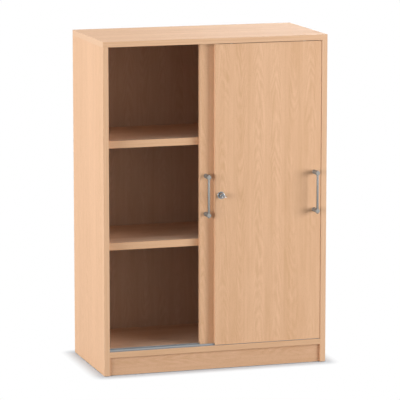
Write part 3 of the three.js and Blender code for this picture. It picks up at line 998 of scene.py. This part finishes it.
# The upper guide rail: one grey plastic extrusion let into the top, with a channel for each
# door's guides; and the stop block that clips over the rear rib where the rear door ends.
GUIDE_SIDES = (-172.5, -139)
GUIDE_LEVELS = (1133, 1140.5, 1142)
CHANNEL_HALF = 4.0
CHANNEL_WALL = 1.5
LIP = 0.4
STOP_ROUNDING = 0.9
NEARLY_FLAT = 0.02
SHARP = math.radians(30)
SOFT_STEPS = 2

lip, plate, crown = GUIDE_LEVELS
outline = []
for middle in RIB_MIDDLES:
    outer = CHANNEL_HALF + CHANNEL_WALL
    if middle == RIB_MIDDLES[1]:
        outline.append((middle - outer, plate, LIP))
    outline += [
        (middle - outer, lip, LIP),
        (middle - CHANNEL_HALF, lip, LIP),
        (middle - CHANNEL_HALF, plate, LIP),
        (middle + CHANNEL_HALF, plate, LIP),
        (middle + CHANNEL_HALF, lip, LIP),
        (middle + outer, lip, LIP),
    ]
    if middle == RIB_MIDDLES[0]:
        outline.append((middle + outer, plate, LIP))
outline += [(GUIDE_SIDES[1], crown, LIP), (GUIDE_SIDES[0], crown, LIP)]
piece = made("double_guide_channel", extruded(eased(outline), RAIL_ENDS), grey_plastic)
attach(piece, "carcass")
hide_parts("upper_guide_rail")


def softened(node, width):
    """A CAD solid's merged copy with its sharp edges eased."""
    bm = merged_copy(node)
    for face in bm.faces:
        face.smooth = any(NEARLY_FLAT < edge.calc_face_angle(0) < SHARP for edge in face.edges)
    rounded(bm, [edge for edge in bm.edges if edge.calc_face_angle(0) > SHARP], width, SOFT_STEPS)
    return bm


piece = made("door_stop", softened("rail_stop", STOP_ROUNDING), grey_plastic)
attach(piece, "carcass")
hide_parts("rail_stop")


# Rollers: each door stands on two grooved plastic wheels in moulded housings pressed into its
# lower edge; every wheel straddles its rib and turns on a steel axle.
ROLLER_PLACES = {"rear_door": (-144.5, 9.5, 273), "front_door": (-167, 57, 320.5)}
AXLE_HEIGHT = 98
WHEEL_OUTLINE = [
    (1.5, -3),
    (3.4, -3, 0.3),
    (3.9, -2.4, 0.3),
    (8.2, -2.4, 0.3),
    (8.7, -3, 0.3),
    (10, -3, 0.4),
    (10, -1.9, 0.2),
    (7.5, -1.3, 0.3),
    (7.5, 1.3, 0.3),
    (10, 1.9, 0.2),
    (10, 3, 0.4),
    (8.7, 3, 0.3),
    (8.2, 2.4, 0.3),
    (3.9, 2.4, 0.3),
    (3.4, 3, 0.3),
    (1.5, 3),
]
AXLE_OUTLINE = [(0, -5), (1.5, -5, 0.3), (1.5, 5, 0.3), (0, 5)]
HOUSING_ROUNDING = 0.5

for door, (middle, *places) in ROLLER_PLACES.items():
    for end, across in zip(("left", "right"), places):
        hub = (across, middle, AXLE_HEIGHT)
        body = f"{door[:-5]}_{end}_roller"
        wheel = made(
            f"{body}_wheel", turned(WHEEL_OUTLINE, hub, (0, 1, 0), steps=48, closed=True), grey_plastic
        )
        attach(wheel, body)
        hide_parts(f"{door}_roller_{end}")
        axle = made(f"{body}_axle", turned(AXLE_OUTLINE, hub, (0, 1, 0), steps=24), zinc_plate)
        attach(axle, body)
        cage = made(
            f"{door}_wheel_cage_{end}",
            softened(f"{door}_roller_housing_{end}", HOUSING_ROUNDING),
            white_plastic,
        )
        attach(cage, door)
        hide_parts(f"{door}_roller_housing_{end}")


# Top guides: white plastic pegs pressed into the doors' upper edges, with a tongue that slides
# in the channel above.
PEG_OUTLINE = [
    (0, 1118),
    (5, 1118, 0.8),
    (5, 1121),
    (4.6, 1121.5),
    (4.6, 1124),
    (5, 1124.5),
    (5, 1131),
    (3.2, 1131),
    (3.2, 1139, 0.8),
    (0, 1139),
]
GUIDE_STEP = (263.5, 0, 0)
for door, (middle, left, _) in ROLLER_PLACES.items():
    peg = turned(PEG_OUTLINE, (left, middle, 0), (0, 0, 1))
    piece = in_rows(f"{door}_guide_pegs", peg, white_plastic, 2, GUIDE_STEP)
    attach(piece, door)
    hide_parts(f"{door}_top_guide_left", f"{door}_top_guide_right")


# Handles: a drawn rod through two die cast posts, all in satin nickel, each post held by a screw
# from behind the door.
HANDLES = {"rear_door": (-30.5, -154), "front_door": (355.5, -176.5)}
BAR_OUTLINE = [(0, 535), (4, 535, 0.8), (4, 685, 0.8), (0, 685)]
STAND_OFF = 36
POST_OUTLINE = [
    (0, 0),
    (7.5, 0, 0.3),
    (7.5, 0.8, 0.2),
    (7, 1.1, 0.2),
    (7, 1.7, 0.2),
    (7.5, 2, 0.2),
    (7.5, 41, 1.5),
    (0, 41),
]
POST_HEIGHT = 544
POST_STEP = (0, 0, 132)
SCREW_SEAT = 16
SCREW_HEAD = 2.4
SCREW_CREST = 2
SCREW_ROOT = 1.6
THREAD_TIP = 23.6
HALF_PITCH = 0.4
THREAD_TURNS = 6
SCREW_OUTLINE = [
    (0, 25),
    (1, 25),
    *[
        ((SCREW_CREST, SCREW_ROOT)[step % 2], THREAD_TIP - HALF_PITCH * step)
        for step in range(2 * THREAD_TURNS + 1)
    ],
    (SCREW_CREST, 0),
    (4, 0, 0.3),
    (4, -0.9, 0.6),
    (2.2, -SCREW_HEAD, 1.5),
    (0, -SCREW_HEAD),
]
CROSS_RECESS = (3.4, 0.8, 1.6)
RECESS_ROUNDING = 0.1
RECESS_CLEAR = 1.0


def cut_away(bm, tool):
    """The bmesh left when the tool's shape is taken out of bm."""
    target = made("target", bm)
    cutter = made("cutter", tool)
    modifier = target.modifiers.new("cut", "BOOLEAN")
    modifier.object = cutter
    modifier.solver = "EXACT"
    whole = target.evaluated_get(bpy.context.evaluated_depsgraph_get())
    mesh = bpy.data.meshes.new_from_object(whole)
    bpy.data.objects.remove(target)
    bpy.data.objects.remove(cutter)
    left = bmesh.new()
    left.from_mesh(mesh)
    bpy.data.meshes.remove(mesh)
    return shaded(left)


def satin_nickel(name, dark, light, smoothest, roughest):
    """Satin nickel plate over brushed metal: warm mid grey with a soft wide gleam. The brushing
    is really 0.05 mm wide and is drawn at 0.3 mm."""
    material, tree, place = new_finish(name)
    strokes = streaked(tree, place, (3300, 3300, 160), Detail=2.0)
    surfaced(
        tree,
        (strokes, linear(dark), linear(light)),
        (strokes, smoothest, roughest),
        {"Metallic": 1.0},
        (strokes, 0.3, 0.00002),
    )
    return material


# The posts are die cast and plated, so that they look paler and duller than the drawn bar
bar_nickel = satin_nickel("satin_nickel_plate", "#6B6A68", "#807F7D", 0.34, 0.46)
post_nickel = satin_nickel("satin_nickel_die_cast", "#888682", "#9B9995", 0.66, 0.78)

for door, (across, face) in HANDLES.items():
    bar_turned = turned(BAR_OUTLINE, (across, face - STAND_OFF, 0), (0, 0, 1), steps=48)
    bar = made(f"{door}_pull_rod", bar_turned, bar_nickel)
    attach(bar, door)
    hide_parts(f"{door}_handle_bar")

    post = turned(POST_OUTLINE, (across, face, POST_HEIGHT), (0, -1, 0), steps=48)
    posts = in_rows(f"{door}_pull_posts", post, post_nickel, 2, POST_STEP)
    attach(posts, door)
    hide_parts(f"{door}_handle_post_lower", f"{door}_handle_post_upper")

    seat = face + SCREW_SEAT
    screw = turned(SCREW_OUTLINE, (across, seat, POST_HEIGHT), (0, -1, 0), steps=32)
    long, thin, deep = CROSS_RECESS
    for wide, tall in ((long, thin), (thin, long)):
        slot_low = (across - wide / 2, seat + SCREW_HEAD - deep, POST_HEIGHT - tall / 2)
        slot_high = (across + wide / 2, seat + SCREW_HEAD + RECESS_CLEAR, POST_HEIGHT + tall / 2)
        screw = cut_away(screw, brick(slot_low, slot_high, RECESS_ROUNDING, steps=1))
    screws = in_rows(f"{door}_pull_screws", screw, zinc_plate, 2, POST_STEP)
    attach(screws, door)
    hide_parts(f"{door}_handle_screw_lower", f"{door}_handle_screw_upper")


# The lock: a chromed tube with a rosette set in the front door, and inside it a sprung cylinder
# that is pushed in to put its bolt behind the rear door's edge.
LOCK_PLACE = (17.5, -176.5, 610)
TUBE_OUTLINE = [
    (9.3, -1.6),
    (9.6, -2, 0.2),
    (10.9, -2, 0.2),
    (11.3, -1.7, 0.2),
    (12.3, -1.7, 0.3),
    (13, -1.1, 0.3),
    (13, 0, 0.1),
    (11, 0),
    (11, 18.5, 0.5),
    (3.8, 18.5, 0.2),
    (3.8, 16.5),
    (9.3, 16.5),
]
CYLINDER_OUTLINE = [
    (0, -4.7),
    (5.3, -4.7),
    (5.3, -20, 0.3),
    (9, -20, 1.2),
    (9, 6, 0.4),
    (3.5, 6),
    (3.5, 18.5, 0.6),
    (0, 18.5),
]
SPRING_TURNS = 3.0
SPRING_RADIUS = 6.4
SPRING_WIRE = 0.5
SPRING_ENDS = (10.3, 15.7)

# Polished chrome: a mirror, toned down to mid grey, with faint wiping marks that blur it in patches
polished_chrome, tree, place = new_finish("polished_chrome_plate")
wiped = add(tree, "ShaderNodeTexNoise", {"Vector": place, "Scale": 300.0, "Detail": 3.0})
surfaced(
    tree,
    (wiped.outputs["Fac"], linear("#8E9092"), linear("#A8AAAB")),
    (wiped.outputs["Fac"], 0.06, 0.2),
    {"Metallic": 1.0},
)

tube = turned(TUBE_OUTLINE, LOCK_PLACE, (0, 1, 0), steps=64, closed=True)
piece = made("lock_tube", tube, polished_chrome)
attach(piece, "front_door")
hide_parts("lock_housing")

cylinder = turned(CYLINDER_OUTLINE, LOCK_PLACE, (0, 1, 0), steps=64)
piece = made("lock_push_cylinder", cylinder, polished_chrome)
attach(piece, "lock_cylinder")
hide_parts("lock_cylinder")

# The coil of the spring, swept round a spiral
coil, given = new_tree(
    "spring_coil",
    {
        "Turns": "Float",
        "Radius": "Float",
        "Height": "Float",
        "Wire Radius": "Float",
        "Finish": "Material",
    },
)
path = add(
    coil,
    "GeometryNodeCurveSpiral",
    {
        "Resolution": 40,
        "Rotations": given["Turns"],
        "Start Radius": given["Radius"],
        "End Radius": given["Radius"],
        "Height": given["Height"],
    },
)
wire = add(
    coil, "GeometryNodeCurvePrimitiveCircle", {"Resolution": 12, "Radius": given["Wire Radius"]}
)
swept = add(
    coil,
    "GeometryNodeCurveToMesh",
    {"Curve": path.outputs["Curve"], "Profile Curve": wire.outputs["Curve"], "Fill Caps": True},
)
end_tree(coil, swept.outputs["Mesh"], given["Finish"])

first, last = SPRING_ENDS
piece = grown(
    "lock_coil_spring",
    coil,
    {
        "Turns": SPRING_TURNS,
        "Radius": SPRING_RADIUS * MM,
        "Height": (last - first) * MM,
        "Wire Radius": SPRING_WIRE * MM,
        "Finish": zinc_plate,
    },
)
start = Vector(LOCK_PLACE) + Vector((0, first, 0))
piece.data.transform(
    Matrix.Translation(start * MM) @ Matrix.Rotation(math.radians(-90), 4, "X")
)
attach(piece, "front_door")
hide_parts("lock_spring")


# The plug turns in the cylinder with the key: a nickel plated blank with a round bow, cut on both
# sides of its blade, that stands level in the plug's slot.
PLUG_OUTLINE = [(0, -20.6), (5, -20.6, 0.4), (5, -5, 0.3), (0, -5)]
KEYWAY = (8.2, 2.8)
KEYWAY_ENDS = (-21.6, -7.7)
KEYWAY_ROUNDING = 0.3
KEY_THICKNESS = 2.2
KEY_EDGE = 0.25
BLADE_HALF = 3.8
BLADE_TIP = -8
TIP_CHAMFER = (1.6, 2)
BOW_CENTRE = -34.49
BOW_RADIUS = 10.5
BOW_SIDES = 48
RING_HOLE = -38
RING_RADIUS = 3
RING_SIDES = 32
NOTCHES = (-11.5, -14.2, -16.9)
NOTCH_DEPTH = 0.9
NOTCH_HALF = 0.8

plug = turned(PLUG_OUTLINE, LOCK_PLACE, (0, 1, 0), steps=48)
x, y, z = LOCK_PLACE
wide, tall = KEYWAY
near, far = KEYWAY_ENDS
low = (x - wide / 2, y + near, z - tall / 2)
high = (x + wide / 2, y + far, z + tall / 2)
keyway = brick(low, high, KEYWAY_ROUNDING)
piece = made("lock_turning_plug", cut_away(plug, keyway), polished_chrome)
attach(piece, "key")
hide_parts("lock_plug")

# Half of the key's outline from the tip back to the bow, then the same mirrored
inwards, back = TIP_CHAMFER
half = [(BLADE_HALF - inwards, BLADE_TIP), (BLADE_HALF, BLADE_TIP - back)]
for notch in NOTCHES:
    half += [
        (BLADE_HALF, notch + NOTCH_HALF),
        (BLADE_HALF - NOTCH_DEPTH, notch + NOTCH_HALF / 3),
        (BLADE_HALF - NOTCH_DEPTH, notch - NOTCH_HALF / 3),
        (BLADE_HALF, notch - NOTCH_HALF),
    ]
neck = math.asin(BLADE_HALF / BOW_RADIUS)
for step in range(BOW_SIDES + 1):
    angle = neck + (math.pi - neck) * step / BOW_SIDES
    half.append((BOW_RADIUS * math.sin(angle), BOW_CENTRE + BOW_RADIUS * math.cos(angle)))
outline = half + [(-a, b) for a, b in reversed(half[:-1])]
hole = [
    (RING_RADIUS * math.sin(angle), RING_HOLE + RING_RADIUS * math.cos(angle))
    for angle in [2 * math.pi * step / RING_SIDES for step in range(RING_SIDES)]
]

blank = bpy.data.curves.new("blank", "CURVE")
blank.dimensions = "2D"
blank.fill_mode = "BOTH"
blank.extrude = (KEY_THICKNESS / 2 - KEY_EDGE) * MM
blank.bevel_depth = KEY_EDGE * MM
blank.bevel_resolution = 2
blank.offset = -KEY_EDGE * MM
for ring in (outline, hole):
    line = blank.splines.new("POLY")
    line.points.add(len(ring) - 1)
    for point, (a, b) in zip(line.points, ring):
        point.co = (a * MM, b * MM, 0, 1)
    line.use_cyclic_u = True
shape = bpy.data.objects.new("blank", blank)
scene.collection.objects.link(shape)
mesh = bpy.data.meshes.new_from_object(shape.evaluated_get(bpy.context.evaluated_depsgraph_get()))
bpy.data.objects.remove(shape)
bm = bmesh.new()
bm.from_mesh(mesh)
bmesh.ops.remove_doubles(bm, verts=bm.verts, dist=SEAM * MM)
bmesh.ops.recalc_face_normals(bm, faces=bm.faces)
bmesh.ops.translate(bm, vec=Vector(LOCK_PLACE) * MM, verts=bm.verts)

# Nickel plated key steel: a little duller than chrome, with fine grinding marks across the blank
nickel_key, tree, place = new_finish("nickel_plated_key_steel")
marks = streaked(tree, place, (150, 3300, 150), Detail=2.0)
surfaced(
    tree,
    (marks, linear("#98989A"), linear("#B2B1B0")),
    (marks, 0.18, 0.32),
    {"Metallic": 1.0},
    (marks, 0.2, 0.00002),
)

piece = made("flat_key", shaded(bm), nickel_key)
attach(piece, "key")
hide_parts("key")
